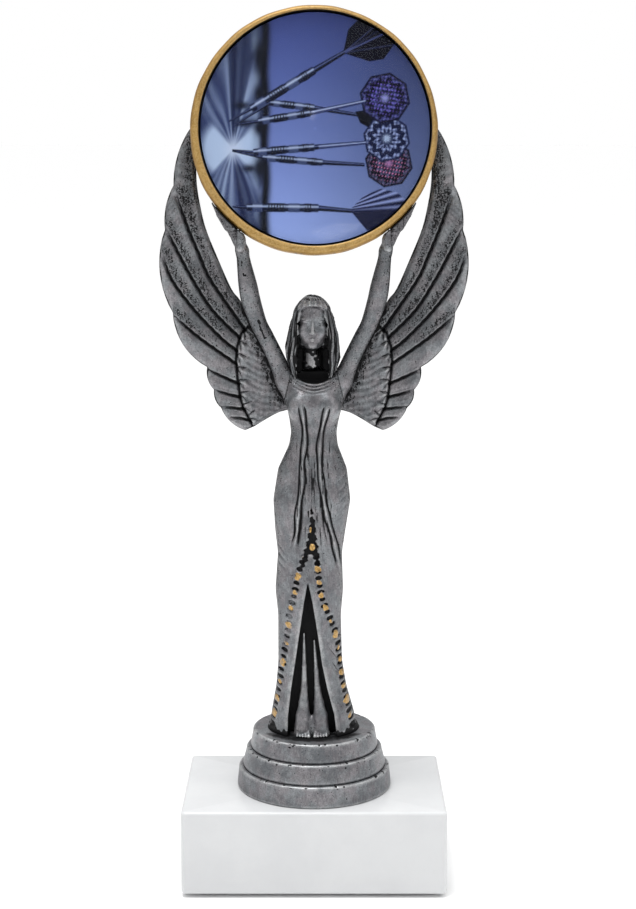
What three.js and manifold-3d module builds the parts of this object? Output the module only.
// Winged figure trophy: a robed woman with raised arms and wings holds a round emblem above her head.
// Millimetres, +Z up, front faces -Y, origin at the middle of the footprint on the surface it stands on.

import * as THREE from 'three';
import { mergeVertices } from 'three/addons/utils/BufferGeometryUtils.js';
import Module from 'manifold-3d';

const wasm = await Module();
wasm.setup();

// ---------------------------------------------------------------- driving dimensions

const GAP = 0.3;                    // glue line between neighbouring castings
const SEAM = 0.2;                   // glue line between the two gown shells
const FIT = 0.15;                   // radial clearance of pegs, spigots and the threaded rod

const BASE = { width: 60, depth: 40, height: 19.4, edge: 0.8 };
const PAD = { diameter: 8, thickness: 0.8, inset: 6.5 };

const ROD = { diameter: 6, tip: 0.8, clearance: 0.5 };
const NUT = { acrossFlats: 10, height: 5 };
const WASHER = { diameter: 12, thickness: 1.6 };
const LOCK_WASHER = { diameter: 10.6, thickness: 1.5, split: 0.9 };
const COUNTERBORE = { clearance: 2, spare: 1.2 };

const PLINTH = { radius: 17.9, wall: 2, bossWall: 1.6, edge: 0.45 };
const TIERS = [                     // from the bottom up; draft is how much a tier narrows upwards
  { step: 0, height: 4.9, draft: 0.4 },
  { step: 1.3, height: 4.5, draft: 0.9 },
  { step: 3.15, height: 4.4, draft: 0.55 },
];

const GOWN = { height: 83, wall: 1.5, sides: 32, levels: 22, hollowSides: 20, hollowLevels: 12 };
const LEG = { height: 31, y: -7.1, spread: 1.85, foot: 1.55, top: 1.1, pin: 0.9, pinDepth: 1.5 };
const SLIT = { height: 35.4, width: 10.2, offset: -0.2, apexOffset: -1.3 };
const RIB = { height: 1.2, width: 1 };

const NECK = { radius: 2.3, spigot: 1.7, depth: 6, back: 0.4 };
const HEAD = { height: 18.2, width: 12.4, depth: 10 };

const ARM = { shoulderRadius: 2.6, elbowRadius: 2.25, wristRadius: 1.5, bulge: 1.9, spigot: 1.3, sides: 12 };
const SHOULDER = { x: 4.9, below: 4.4 };

const WING = { span: 34.5, height: 68.6, thickness: 2.8, rootY: 4.2, tipY: -1.2, below: 14.2 };
const WING_PEG = { radius: 1.2, length: 4, x: 4, below: 6.5 };

const EMBLEM = { diameter: 50, thickness: 0.6, padInset: 2, padThickness: 0.5, dome: 0.9, domeEdge: 0.2 };
const HOLDER = { rim: 1.55, margin: 0.55, depth: 5, floor: 1.6, tilt: 5, above: 26.8, forward: 6.3 };

// ---------------------------------------------------------------- levels that follow from them

const BASE_TOP = PAD.thickness + BASE.height;
const PLINTH_HEIGHT = TIERS.reduce((sum, tier) => sum + tier.height, 0);
const PLINTH_TOP = BASE_TOP + PLINTH_HEIGHT;
const NECK_BASE = PLINTH_TOP + GOWN.height;
const APERTURE_RADIUS = EMBLEM.diameter / 2 + HOLDER.margin;
const HOLDER_RADIUS = APERTURE_RADIUS + HOLDER.rim;
const HOLDER_CENTRE = new THREE.Vector3(0, -HOLDER.forward, NECK_BASE + HOLDER.above + HOLDER_RADIUS);
const ROD_HOLE_RADIUS = ROD.diameter / 2 + ROD.clearance;
const BOSS_RADIUS = NUT.acrossFlats / Math.sqrt(3) + PLINTH.bossWall;
const COUNTERBORE_DEPTH = WASHER.thickness + LOCK_WASHER.thickness + NUT.height + COUNTERBORE.spare;
const SEAT_UNDER_BASE = PAD.thickness + COUNTERBORE_DEPTH;
const NUT_POCKET_DEPTH = NUT.height + GAP;

// ---------------------------------------------------------------- solids and meshes

function signedVolume(positions, indices) {
  let sum = 0;
  for (let i = 0; i < indices.length; i += 3) {
    const a = new THREE.Vector3().fromArray(positions, 3 * indices[i]);
    const b = new THREE.Vector3().fromArray(positions, 3 * indices[i + 1]);
    const c = new THREE.Vector3().fromArray(positions, 3 * indices[i + 2]);
    sum += a.dot(b.cross(c));
  }
  return sum / 6;
}

// A closed geometry as a solid, turned so that its faces point out.
function solid(geometry) {
  geometry.deleteAttribute('normal');
  geometry.deleteAttribute('uv');
  const merged = mergeVertices(geometry, 1e-5);
  const positions = merged.getAttribute('position').array;
  const corners = [];
  const index = merged.getIndex().array;
  for (let i = 0; i < index.length; i += 3) {
    const [a, b, c] = [index[i], index[i + 1], index[i + 2]];
    if (a !== b && b !== c && c !== a) corners.push(a, b, c);
  }
  if (signedVolume(positions, corners) < 0) corners.reverse();
  return new wasm.Manifold(new wasm.Mesh({
    numProp: 3,
    vertProperties: new Float32Array(positions),
    triVerts: new Uint32Array(corners),
  }));
}

function united(parts) {
  return parts.reduce((all, part) => all.add(part));
}

function without(body, cuts) {
  return cuts.reduce((rest, cut) => rest.subtract(cut), body);
}

function toGeometry(body) {
  const mesh = body.getMesh();
  const geometry = new THREE.BufferGeometry();
  geometry.setAttribute('position', new THREE.BufferAttribute(new Float32Array(mesh.vertProperties), 3));
  geometry.setIndex(new THREE.BufferAttribute(new Uint32Array(mesh.triVerts), 1));
  geometry.computeVertexNormals();
  return geometry;
}

const FINISH = {
  marble: { color: 0xeceded, roughness: 0.22, metalness: 0 },
  felt: { color: 0x2c2c2e, roughness: 0.95, metalness: 0 },
  steel: { color: 0xb4b7ba, roughness: 0.35, metalness: 1 },
  pewter: { color: 0x6f6a6b, roughness: 0.5, metalness: 0.6 },
  gold: { color: 0xc8963c, roughness: 0.42, metalness: 0.5 },
  foam: { color: 0xf0f0ea, roughness: 0.9, metalness: 0 },
  print: { color: 0x5a6aa8, roughness: 0.5, metalness: 0 },
  resin: { color: 0xe8f0ff, roughness: 0.06, metalness: 0 },
};

function piece(name, body, finish) {
  const mesh = new THREE.Mesh(toGeometry(body), new THREE.MeshStandardMaterial(FINISH[finish]));
  mesh.name = name;
  return mesh;
}

// ---------------------------------------------------------------- building blocks

function onAxis(z, y = 0) {
  return new THREE.Vector3(0, y, z);
}

// A skin through rings of points with the same count, closed by a fan at each end.
function loft(rings) {
  const count = rings[0].length;
  const positions = [];
  const corners = [];
  for (const ring of rings) {
    for (const point of ring) positions.push(point.x, point.y, point.z);
  }
  for (let level = 0; level + 1 < rings.length; level += 1) {
    for (let i = 0; i < count; i += 1) {
      const a = level * count + i;
      const b = level * count + (i + 1) % count;
      corners.push(a, b, b + count, a, b + count, a + count);
    }
  }
  for (const level of [0, rings.length - 1]) {
    const middle = rings[level].reduce((sum, point) => sum.add(point), new THREE.Vector3());
    middle.divideScalar(count);
    const centre = positions.length / 3;
    positions.push(middle.x, middle.y, middle.z);
    for (let i = 0; i < count; i += 1) {
      const a = level * count + i;
      const b = level * count + (i + 1) % count;
      corners.push(...(level === 0 ? [b, a, centre] : [a, b, centre]));
    }
  }
  const geometry = new THREE.BufferGeometry();
  geometry.setAttribute('position', new THREE.Float32BufferAttribute(positions, 3));
  geometry.setIndex(corners);
  return solid(geometry);
}

// A turned solid about the Z axis from [radius, height] points.
function turned(profile, segments = 64) {
  const points = profile.map(([radius, height]) => new THREE.Vector2(radius, height));
  return solid(new THREE.LatheGeometry(points, segments).rotateX(Math.PI / 2));
}

function rod(radius, from, to, segments = 24) {
  const axis = to.clone().sub(from);
  const geometry = new THREE.CylinderGeometry(radius, radius, axis.length(), segments);
  const turn = new THREE.Quaternion().setFromUnitVectors(new THREE.Vector3(0, 1, 0), axis.normalize());
  geometry.applyQuaternion(turn);
  geometry.translate(...from.clone().add(to).divideScalar(2).toArray());
  return solid(geometry);
}

function block(low, high) {
  const size = high.clone().sub(low);
  const geometry = new THREE.BoxGeometry(size.x, size.y, size.z);
  geometry.translate(...low.clone().add(high).divideScalar(2).toArray());
  return solid(geometry);
}

// Smooth values between stations: each row is [position, value, value, ...].
function smoothTable(rows) {
  const positions = rows.map((row) => row[0]);
  const values = rows.flatMap((row) => row.slice(1));
  const interpolant = new THREE.CubicInterpolant(positions, values, rows[0].length - 1);
  return (position) => Array.from(interpolant.evaluate(position));
}

// An oval with its own reach to the left, right, front and back.
function ovalRing(centre, [left, right, front, back], sides) {
  const ring = [];
  for (let i = 0; i < sides; i += 1) {
    const angle = 2 * Math.PI * i / sides;
    const x = Math.cos(angle);
    const y = Math.sin(angle);
    const point = centre.clone();
    point.x += x * (x < 0 ? left : right);
    point.y += y * (y < 0 ? front : back);
    ring.push(point);
  }
  return ring;
}

function spaced(from, to, count) {
  return Array.from({ length: count + 1 }, (_, i) => from + (to - from) * i / count);
}

// ---------------------------------------------------------------- base and fasteners

function marbleBase() {
  const [x, y, c] = [BASE.width / 2, BASE.depth / 2, BASE.edge];
  const outline = new THREE.Shape([
    [c - x, -y], [x - c, -y], [x, c - y], [x, y - c], [x - c, y], [c - x, y], [-x, y - c], [-x, c - y],
  ].map(([px, py]) => new THREE.Vector2(px, py)));
  const slab = new THREE.ExtrudeGeometry(outline, {
    depth: BASE.height - 2 * c, bevelThickness: c, bevelSize: c, bevelOffset: -c, bevelSegments: 2,
  });
  slab.translate(0, 0, PAD.thickness + c);
  const hole = rod(ROD_HOLE_RADIUS, onAxis(-1), onAxis(BASE_TOP + 1), 32);
  const wide = WASHER.diameter / 2 + COUNTERBORE.clearance;
  const counterbore = rod(wide, onAxis(-1), onAxis(SEAT_UNDER_BASE), 40);
  return without(solid(slab), [hole, counterbore]);
}

function footPad(x, y) {
  const [r, t] = [PAD.diameter / 2, PAD.thickness];
  return turned([[0, 0], [r, 0], [r, t], [0, t]], 32).translate([x, y, 0]);
}

function tieRod() {
  const r = ROD.diameter / 2;
  const low = SEAT_UNDER_BASE - WASHER.thickness - LOCK_WASHER.thickness - NUT.height - ROD.tip;
  const high = PLINTH_TOP - GAP;
  return turned([
    [0, low], [r - ROD.tip, low], [r, low + ROD.tip], [r, high - ROD.tip], [r - ROD.tip, high], [0, high],
  ], 24);
}

function washer(outer, thickness, top) {
  const inner = ROD.diameter / 2 + FIT;
  return turned([
    [inner, top - thickness], [outer / 2, top - thickness], [outer / 2, top], [inner, top],
    [inner, top - thickness],
  ], 32);
}

function lockWasher() {
  const top = SEAT_UNDER_BASE - WASHER.thickness;
  const reach = LOCK_WASHER.diameter;
  const half = LOCK_WASHER.split / 2;
  const slot = new THREE.BoxGeometry(reach, 2 * half, 4 * LOCK_WASHER.thickness);
  slot.rotateX(Math.PI / 6);
  slot.translate(reach / 2, 0, top - LOCK_WASHER.thickness / 2);
  return washer(LOCK_WASHER.diameter, LOCK_WASHER.thickness, top).subtract(solid(slot));
}

function hexPrism(acrossFlats, low, high) {
  const radius = acrossFlats / Math.sqrt(3);
  return rod(radius, onAxis(low), onAxis(high), 6);
}

// A nut with its corners chamfered at both faces.
function hexNut(low) {
  const high = low + NUT.height;
  const corner = NUT.acrossFlats / Math.sqrt(3);
  const flat = NUT.acrossFlats / 2;
  const chamfer = (corner - flat) * 0.6;
  const bore = rod(ROD.diameter / 2 + FIT, onAxis(low - 1), onAxis(high + 1));
  const cone = turned([
    [0, low], [flat, low], [corner, low + chamfer], [corner, high - chamfer], [flat, high], [0, high],
  ], 36);
  return hexPrism(NUT.acrossFlats, low, high).intersect(cone).subtract(bore);
}

// ---------------------------------------------------------------- gown outline

// Height above the plinth as a share of the gown's height, then the reach left, right, front and back.
const GOWN_STATIONS = smoothTable([
  [0.000, 10.4, 10.1, 9.6, 8.6],
  [0.052, 9.8, 9.1, 8.9, 8.0],
  [0.120, 8.8, 7.5, 8.2, 7.0],
  [0.193, 8.3, 6.5, 7.8, 6.4],
  [0.325, 8.3, 6.2, 7.6, 6.2],
  [0.398, 9.0, 6.7, 7.6, 6.4],
  [0.500, 8.3, 6.4, 7.2, 6.8],
  [0.566, 8.9, 7.3, 7.2, 7.4],
  [0.650, 9.4, 8.4, 7.2, 8.0],
  [0.735, 8.3, 7.5, 6.4, 7.2],
  [0.800, 5.6, 5.3, 5.0, 5.0],
  [0.836, 5.2, 5.2, 4.8, 4.6],
  [0.867, 5.6, 5.7, 5.4, 4.6],
  [0.910, 6.6, 7.0, 6.4, 4.8],
  [0.946, 6.9, 7.2, 6.0, 5.0],
  [0.976, 6.0, 6.2, 4.6, 4.6],
  [1.000, 3.6, 3.6, 2.8, 3.6],
]);

function gownReach(share, inset) {
  return GOWN_STATIONS(Math.min(Math.max(share, 0), 1)).map((reach) => Math.max(reach - inset, 0.4));
}

// The gown's outer form, moved in by inset (negative moves it out), between two shares of its height.
function gownForm(inset, from = 0, to = 1, levels = GOWN.levels, sides = GOWN.sides) {
  const rings = spaced(from, to, levels).map((share) => {
    const centre = new THREE.Vector3(0, 0, PLINTH_TOP + share * GOWN.height);
    return ovalRing(centre, gownReach(share, inset), sides);
  });
  return loft(rings);
}

function gownHollow(inset, to) {
  return gownForm(inset, -0.02, to, GOWN.hollowLevels, GOWN.hollowSides);
}

const GOWN_GROWN = gownForm(-GAP, -0.01, 1 + GAP / GOWN.height);

function halfSpace(side, seam) {
  const reach = 60;
  const edge = side * seam / 2;
  const low = new THREE.Vector3(-reach, Math.min(edge, side * reach), 0);
  const high = new THREE.Vector3(reach, Math.max(edge, side * reach), 3 * reach);
  return block(low, high);
}

// The opening at the front of the skirt, narrowing upwards to a point.
function slitPrism(margin) {
  const half = SLIT.width / 2 - margin;
  const apexZ = PLINTH_TOP + SLIT.height - 3 * margin;
  const kneeZ = PLINTH_TOP + 0.68 * SLIT.height;
  const kneeHalf = 0.4 * half;
  const kneeX = THREE.MathUtils.lerp(SLIT.offset, SLIT.apexOffset, 0.68);
  const shape = new THREE.Shape([
    new THREE.Vector2(SLIT.offset - half, PLINTH_TOP - 1),
    new THREE.Vector2(SLIT.offset + half, PLINTH_TOP - 1),
    new THREE.Vector2(kneeX + kneeHalf, kneeZ),
    new THREE.Vector2(SLIT.apexOffset, apexZ),
    new THREE.Vector2(kneeX - kneeHalf, kneeZ),
  ]);
  const prism = new THREE.ExtrudeGeometry(shape, { depth: 20, bevelEnabled: false });
  prism.rotateX(Math.PI / 2);
  prism.translate(0, -3, 0);
  return solid(prism);
}

// ---------------------------------------------------------------- plinth

function tierProfile() {
  const profile = [[0, 0]];
  let z = 0;
  for (const tier of TIERS) {
    const e = PLINTH.edge;
    const bottom = PLINTH.radius - tier.step;
    const top = bottom - tier.draft;
    z += tier.height;
    profile.push([bottom, z - tier.height], [top, z - e], [top - 0.3 * e, z - 0.3 * e], [top - e, z]);
  }
  profile.push([0, z]);
  return profile.map(([radius, height]) => [radius, BASE_TOP + height]);
}

function legPin(side, radius) {
  const x = legX(side);
  const low = new THREE.Vector3(x, LEG.y, PLINTH_TOP - LEG.pinDepth - (radius > LEG.pin ? GAP : 0));
  return rod(radius, low, new THREE.Vector3(x, LEG.y, PLINTH_TOP + 0.6), 16);
}

function locatingRib() {
  const inset = GOWN.wall + GAP;
  const top = RIB.height / GOWN.height;
  const outer = gownForm(inset, -0.01, top, 2, GOWN.hollowSides);
  const inner = gownForm(inset + RIB.width, -0.02, 2 * top, 2, GOWN.hollowSides);
  const front = block(new THREE.Vector3(-30, -30, 0), new THREE.Vector3(30, -1, 3 * GOWN.height));
  return without(outer, [inner, front]);
}

function plinth() {
  const lastTier = TIERS[TIERS.length - 1];
  const inner = PLINTH.radius - PLINTH.wall;
  const roof = PLINTH_TOP - PLINTH.wall;
  const below = BASE_TOP - 1;
  const hollow = turned([
    [BOSS_RADIUS, below], [inner, below], [inner, BASE_TOP + 0.6 * TIERS[0].height],
    [inner - lastTier.step - lastTier.draft, roof], [BOSS_RADIUS, roof], [BOSS_RADIUS, below],
  ], 36);
  const hole = rod(ROD_HOLE_RADIUS, onAxis(below), onAxis(PLINTH_TOP + 1));
  const pocket = hexPrism(NUT.acrossFlats + 2 * FIT, PLINTH_TOP - NUT_POCKET_DEPTH, PLINTH_TOP + 1);
  const pinHoles = [-1, 1].map((side) => legPin(side, LEG.pin + FIT));
  return without(turned(tierProfile(), 56).add(locatingRib()), [hollow, hole, pocket, ...pinHoles]);
}

// ---------------------------------------------------------------- gown shells

const NECK_AXIS = [onAxis(NECK_BASE - NECK.depth, NECK.back), onAxis(NECK_BASE + 2, NECK.back)];

function gownShell(side) {
  const hollow = gownHollow(GOWN.wall, 0.945);
  const sockets = [rod(NECK.spigot + FIT, ...NECK_AXIS)];
  for (const arm of [-1, 1]) {
    sockets.push(armSpigot(arm, FIT));
    if (side > 0) sockets.push(wingPeg(arm, FIT));
  }
  if (side < 0) sockets.push(slitPrism(0));
  return without(gownForm(0).subtract(hollow).intersect(halfSpace(side, SEAM)), sockets);
}

// ---------------------------------------------------------------- legs and feet

function legX(side) {
  return SLIT.offset + side * LEG.spread;
}

function leg(side) {
  const lean = smoothTable([
    [0, 0, LEG.foot, 2.4],
    [0.06, 0, LEG.foot, 2.2],
    [0.16, 0.6, 1.35, 1.6],
    [0.5, 1.3, 1.3, 1.5],
    [1, 3, LEG.top, 1.3],
  ]);
  const rings = spaced(0, 1, 12).map((share) => {
    const [back, wide, deep] = lean(share);
    const x = THREE.MathUtils.lerp(legX(side), SLIT.apexOffset + 0.7 * side * LEG.spread, share);
    const centre = new THREE.Vector3(x, LEG.y + back, PLINTH_TOP + share * LEG.height);
    return ovalRing(centre, [wide, wide, deep, deep], 16);
  });
  return loft(rings);
}

function legsAndFeet() {
  const z = PLINTH_TOP + LEG.height;
  const low = new THREE.Vector3(SLIT.apexOffset - LEG.spread, LEG.y + 2, z - 3);
  const high = new THREE.Vector3(SLIT.apexOffset + LEG.spread, LEG.y + 4, z - 1);
  const shell = without(GOWN_GROWN, [gownHollow(GOWN.wall + GAP, 0.9), slitPrism(GAP)]);
  const lowered = block(new THREE.Vector3(-30, -30, -30), new THREE.Vector3(30, 30, PLINTH_TOP));
  const legs = united([leg(-1), leg(1), block(low, high)]).subtract(shell.subtract(lowered));
  return united([legs, legPin(-1, LEG.pin), legPin(1, LEG.pin)]);
}

// ---------------------------------------------------------------- emblem holder and emblem

const ROUND = 60;                   // sides of the holder and of what sits in it

// Solids of the holder are turned about its own axis, with the front face at height 0 and the back below.
const TILT = new THREE.Matrix4()
  .makeTranslation(...HOLDER_CENTRE.toArray())
  .multiply(new THREE.Matrix4().makeRotationX(Math.PI / 2 - THREE.MathUtils.degToRad(HOLDER.tilt)));

function holderRim(grow = 0) {
  const r = HOLDER_RADIUS + grow;
  return [[0, -HOLDER.depth - grow], [r - 1.5, -HOLDER.depth - grow], [r - 0.3, -HOLDER.depth + 0.9],
    [r, 0.4 - HOLDER.depth / 2], [r - 0.3, -0.7], [r - 0.8, grow]];
}

function holderBody() {
  const a = APERTURE_RADIUS;
  const floor = HOLDER.floor - HOLDER.depth;
  return turned([...holderRim(), [a + 0.35, 0], [a, -0.35], [a, floor], [0, floor]], ROUND);
}

function emblemLevels() {
  const pad = HOLDER.floor - HOLDER.depth + GAP;
  const disc = pad + EMBLEM.padThickness + GAP;
  const dome = disc + EMBLEM.thickness + GAP;
  return { pad, disc, dome };
}

function discBody(diameter, low, thickness) {
  const r = diameter / 2;
  return turned([[0, low], [r, low], [r, low + thickness], [0, low + thickness]], ROUND);
}

function domeBody() {
  const r = EMBLEM.diameter / 2;
  const low = emblemLevels().dome;
  const rise = EMBLEM.dome - EMBLEM.domeEdge;
  const profile = [[0, low], [r, low]];
  for (const share of [1, 0.93, 0.7, 0]) {
    profile.push([share * r, low + EMBLEM.domeEdge + (1 - Math.pow(share, 4)) * rise]);
  }
  return turned(profile, ROUND);
}

function inHolder(body) {
  return solid(toGeometry(body).applyMatrix4(TILT));
}

const HOLDER_GROWN = inHolder(turned([...holderRim(GAP), [0, GAP]], ROUND));

// ---------------------------------------------------------------- arms

function shoulderPoint(side) {
  return new THREE.Vector3(side * SHOULDER.x, 0, NECK_BASE - SHOULDER.below);
}

// A point beside the holder's rim: angle below the horizontal, and how far outside the rim.
function besideRim(side, degrees, outside, forward) {
  const angle = THREE.MathUtils.degToRad(degrees);
  const r = HOLDER_RADIUS + outside;
  const drop = r * Math.sin(angle);
  const lean = drop * Math.sin(THREE.MathUtils.degToRad(HOLDER.tilt));
  const y = HOLDER_CENTRE.y + HOLDER.depth / 2 - lean + forward;
  return new THREE.Vector3(side * r * Math.cos(angle), y, HOLDER_CENTRE.z - drop);
}

function wristPoint(side) {
  return besideRim(side, 57.9, 3.2, 1.6);
}

function armPath(side) {
  const shoulder = shoulderPoint(side);
  const wrist = wristPoint(side);
  const alongArm = (share, bulge) => {
    const point = shoulder.clone().lerp(wrist, share);
    point.x += side * bulge;
    return point;
  };
  return [
    [shoulder, ARM.shoulderRadius, 2.4],
    [alongArm(0.16, 0.6 * ARM.bulge), ARM.shoulderRadius, 2.4],
    [alongArm(0.36, ARM.bulge), 2.2, 2.2],
    [alongArm(0.6, 1.1 * ARM.bulge), ARM.elbowRadius, 2.2],
    [alongArm(0.8, 0.75 * ARM.bulge), 1.85, 1.9],
    [wrist, ARM.wristRadius, 1.6],
    [besideRim(side, 51.4, 1.5, 0.8), 1.75, 2.4],
    [besideRim(side, 43, 0.5, 0.7), 1.45, 2.6],
    [besideRim(side, 36, 0, 0.9), 0.5, 1.6],
  ];
}

function armForm(side, grow) {
  const stations = armPath(side);
  const path = new THREE.CatmullRomCurve3(stations.map(([point]) => point));
  const radii = smoothTable(stations.map(([, wide, deep], i) => [i / (stations.length - 1), wide, deep]));
  const rings = spaced(0, 1, 20).map((share) => {
    const [wide, deep] = radii(share);
    const along = path.getTangent(share);
    const across = new THREE.Vector3(-along.z, 0, along.x).normalize();
    const front = new THREE.Vector3().crossVectors(along, across).normalize();
    const centre = path.getPoint(share);
    return Array.from({ length: ARM.sides }, (_, i) => {
      const angle = 2 * Math.PI * i / ARM.sides;
      return centre.clone()
        .addScaledVector(across, (wide + grow) * Math.cos(angle))
        .addScaledVector(front, (deep + grow) * Math.sin(angle));
    });
  });
  return loft(rings);
}

function armSpigot(side, grow) {
  const shoulder = shoulderPoint(side);
  const outer = shoulder.clone().lerp(wristPoint(side), 0.12);
  const inner = shoulder.clone().add(new THREE.Vector3(side * -1.6, 0, -2.2 - 2 * grow));
  return rod(ARM.spigot + grow, inner, outer, 16);
}

function arm(side) {
  return without(armForm(side, 0), [GOWN_GROWN, HOLDER_GROWN]).add(armSpigot(side, 0));
}

const ARMS_GROWN = [-1, 1].map((side) => armForm(side, GAP));

// ---------------------------------------------------------------- head and hair

// Share of the head's height above the neck's base, then the half width, front and back as shares.
const HAIR_STATIONS = smoothTable([
  [-0.13, 0.70, 0.50, 0.30],
  [0.05, 0.86, 0.52, 0.38],
  [0.22, 0.98, 0.50, 0.46],
  [0.36, 1.00, 0.48, 0.52],
  [0.48, 0.94, 0.46, 0.55],
  [0.63, 0.82, 0.44, 0.54],
  [0.78, 0.68, 0.38, 0.47],
  [0.92, 0.42, 0.24, 0.29],
  [1.00, 0.10, 0.06, 0.06],
]);

function hairForm(grow) {
  const rings = spaced(-0.13, 1, 14).map((share) => {
    const [wide, front, back] = HAIR_STATIONS(share);
    const centre = new THREE.Vector3(0, NECK.back, NECK_BASE + share * HEAD.height);
    const half = wide * HEAD.width / 2 + grow;
    return ovalRing(centre, [half, half, front * HEAD.depth + grow, back * HEAD.depth + grow], 20);
  });
  return loft(rings);
}

function headAndHair() {
  const face = new THREE.SphereGeometry(1, 16, 12);
  face.scale(0.235 * HEAD.width, 0.3 * HEAD.depth, 0.25 * HEAD.height);
  face.translate(0, NECK.back - 0.26 * HEAD.depth, NECK_BASE + 0.6 * HEAD.height);
  const chin = NECK_BASE + 0.37 * HEAD.height;
  const recess = block(
    new THREE.Vector3(-0.22 * HEAD.width, -HEAD.depth, NECK_BASE - 4),
    new THREE.Vector3(0.22 * HEAD.width, NECK.back - NECK.radius, chin),
  );
  const neck = rod(NECK.radius, onAxis(NECK_BASE - 1, NECK.back), onAxis(chin, NECK.back));
  const spigot = rod(NECK.spigot, ...NECK_AXIS);
  const bust = united([hairForm(0).subtract(recess), solid(face), neck]);
  return without(bust, [GOWN_GROWN, ...ARMS_GROWN]).add(spigot);
}

// ---------------------------------------------------------------- wings

// Notches between the feather tips down the outer edge, as shares of span and height, and how far
// the feather below each one bulges past the straight line to the next.
const FEATHER_TIPS = [
  [0.791, 1.000, 1.0],
  [0.904, 0.825, 0.8],
  [0.965, 0.680, 2.1],
  [0.928, 0.405, 2.0],
  [0.707, 0.218, 0.7],
  [0.664, 0.140, 0.6],
  [0.617, 0.076, 0.9],
  [0.452, 0.000, 0],
];

const INNER_EDGE = [
  [0.000, 0.452], [0.012, 0.397], [0.060, 0.232], [0.085, 0.045], [0.170, 0.045], [0.190, 0.120],
  [0.240, 0.245], [0.335, 0.375], [0.437, 0.480], [0.480, 0.540], [0.600, 0.641], [0.720, 0.718],
  [0.835, 0.754], [0.900, 0.735], [1.000, 0.735],
];

function outerEdge(share) {
  for (let i = 0; i + 1 < FEATHER_TIPS.length; i += 1) {
    const [x0, z0, bulge] = FEATHER_TIPS[i];
    const [x1, z1] = FEATHER_TIPS[i + 1];
    if (share >= z1) {
      const t = (z0 - share) / (z0 - z1);
      return THREE.MathUtils.lerp(x0, x1, t) * WING.span + bulge * Math.sin(Math.PI * t);
    }
  }
  return FEATHER_TIPS[FEATHER_TIPS.length - 1][0] * WING.span;
}

function innerEdge(share) {
  const after = Math.max(INNER_EDGE.findIndex(([z]) => z >= share), 1);
  const [z0, x0] = INNER_EDGE[after - 1];
  const [z1, x1] = INNER_EDGE[after];
  return THREE.MathUtils.mapLinear(share, z0, z1, x0, x1) * WING.span;
}

function wingLevels() {
  const levels = FEATHER_TIPS.flatMap(([, z], i) => {
    if (i + 1 === FEATHER_TIPS.length) return [0];
    const below = FEATHER_TIPS[i + 1][1];
    const steps = Math.max(2, Math.round((z - below) / 0.04));
    return spaced(z, below, steps).slice(0, -1);
  });
  return levels.reverse();
}

function wingForm(side) {
  const bottom = NECK_BASE - WING.below;
  const rings = wingLevels().map((share) => {
    const inner = Math.min(innerEdge(share), outerEdge(share) - 0.6);
    const outer = outerEdge(share);
    const sweep = THREE.MathUtils.smoothstep(share, 0.16, 0.9);
    const front = THREE.MathUtils.lerp(WING.rootY, WING.tipY, sweep);
    const ring = [];
    for (const face of [-1, 1]) {
      for (const s of face < 0 ? [0, 0.12, 0.5, 0.88, 1] : [1, 0.88, 0.5, 0.12, 0]) {
        const edge = s === 0 || s === 1 ? 0.3 : 0.5;
        const thick = WING.thickness * (1 - 0.45 * s);
        const y = front + thick * (0.5 + face * edge);
        const x = side * THREE.MathUtils.lerp(inner, outer, s);
        ring.push(new THREE.Vector3(x, y, bottom + share * WING.height));
      }
    }
    return ring;
  });
  return loft(rings);
}

function wingPeg(side, grow) {
  const z = NECK_BASE - WING_PEG.below;
  const back = new THREE.Vector3(side * WING_PEG.x, WING.rootY + WING.thickness / 2, z);
  const tip = new THREE.Vector3(side * WING_PEG.x, back.y - WING_PEG.length - grow, z);
  return rod(WING_PEG.radius + grow, tip, back, 16);
}

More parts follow.
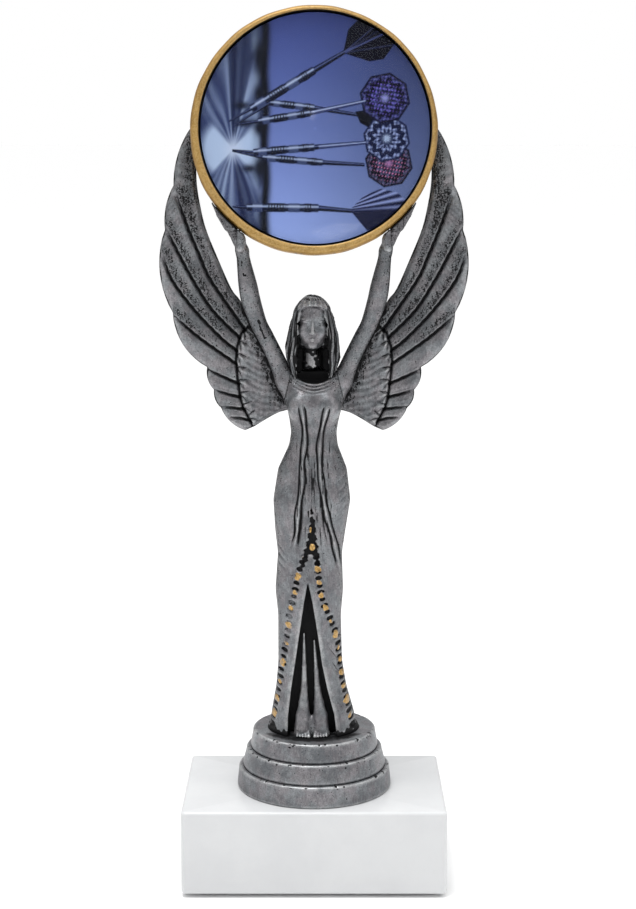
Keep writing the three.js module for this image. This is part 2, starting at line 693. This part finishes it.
function wing(side, head) {
  const cut = without(wingForm(side), [GOWN_GROWN, HOLDER_GROWN, ...ARMS_GROWN]);
  const clear = cut.subtract(hairForm(GAP).intersect(halfSpace(1, 0)));
  return clear.add(wingPeg(side, 0));
}

// ---------------------------------------------------------------- the trophy

const trophy = new THREE.Group();

trophy.add(piece('marble_base', marbleBase(), 'marble'));
[[-1, -1], [1, -1], [-1, 1], [1, 1]].forEach(([sx, sy], i) => {
  const x = sx * (BASE.width / 2 - PAD.inset);
  const y = sy * (BASE.depth / 2 - PAD.inset);
  trophy.add(piece(`foot_pad_${i + 1}`, footPad(x, y), 'felt'));
});
trophy.add(piece('tie_rod', tieRod(), 'steel'));
trophy.add(piece('base_washer', washer(WASHER.diameter, WASHER.thickness, SEAT_UNDER_BASE), 'steel'));
trophy.add(piece('lock_washer', lockWasher(), 'steel'));
const baseNutTop = SEAT_UNDER_BASE - WASHER.thickness - LOCK_WASHER.thickness;
trophy.add(piece('base_nut', hexNut(baseNutTop - NUT.height), 'steel'));

trophy.add(piece('plinth', plinth(), 'pewter'));
trophy.add(piece('plinth_nut', hexNut(PLINTH_TOP - NUT_POCKET_DEPTH), 'steel'));
trophy.add(piece('gown_front_shell', gownShell(-1), 'pewter'));
trophy.add(piece('gown_rear_shell', gownShell(1), 'pewter'));
trophy.add(piece('legs_and_feet', legsAndFeet(), 'pewter'));
trophy.add(piece('head_and_hair', headAndHair(), 'pewter'));
trophy.add(piece('left_arm', arm(-1), 'pewter'));
trophy.add(piece('right_arm', arm(1), 'pewter'));
trophy.add(piece('left_wing', wing(-1), 'pewter'));
trophy.add(piece('right_wing', wing(1), 'pewter'));

const emblem = emblemLevels();
trophy.add(piece('emblem_holder', inHolder(holderBody()), 'gold'));
const padDiameter = EMBLEM.diameter - 2 * EMBLEM.padInset;
trophy.add(piece('emblem_pad', inHolder(discBody(padDiameter, emblem.pad, EMBLEM.padThickness)), 'foam'));
trophy.add(piece('emblem_disc', inHolder(discBody(EMBLEM.diameter, emblem.disc, EMBLEM.thickness)), 'print'));
trophy.add(piece('emblem_dome', inHolder(domeBody()), 'resin'));

export default trophy;
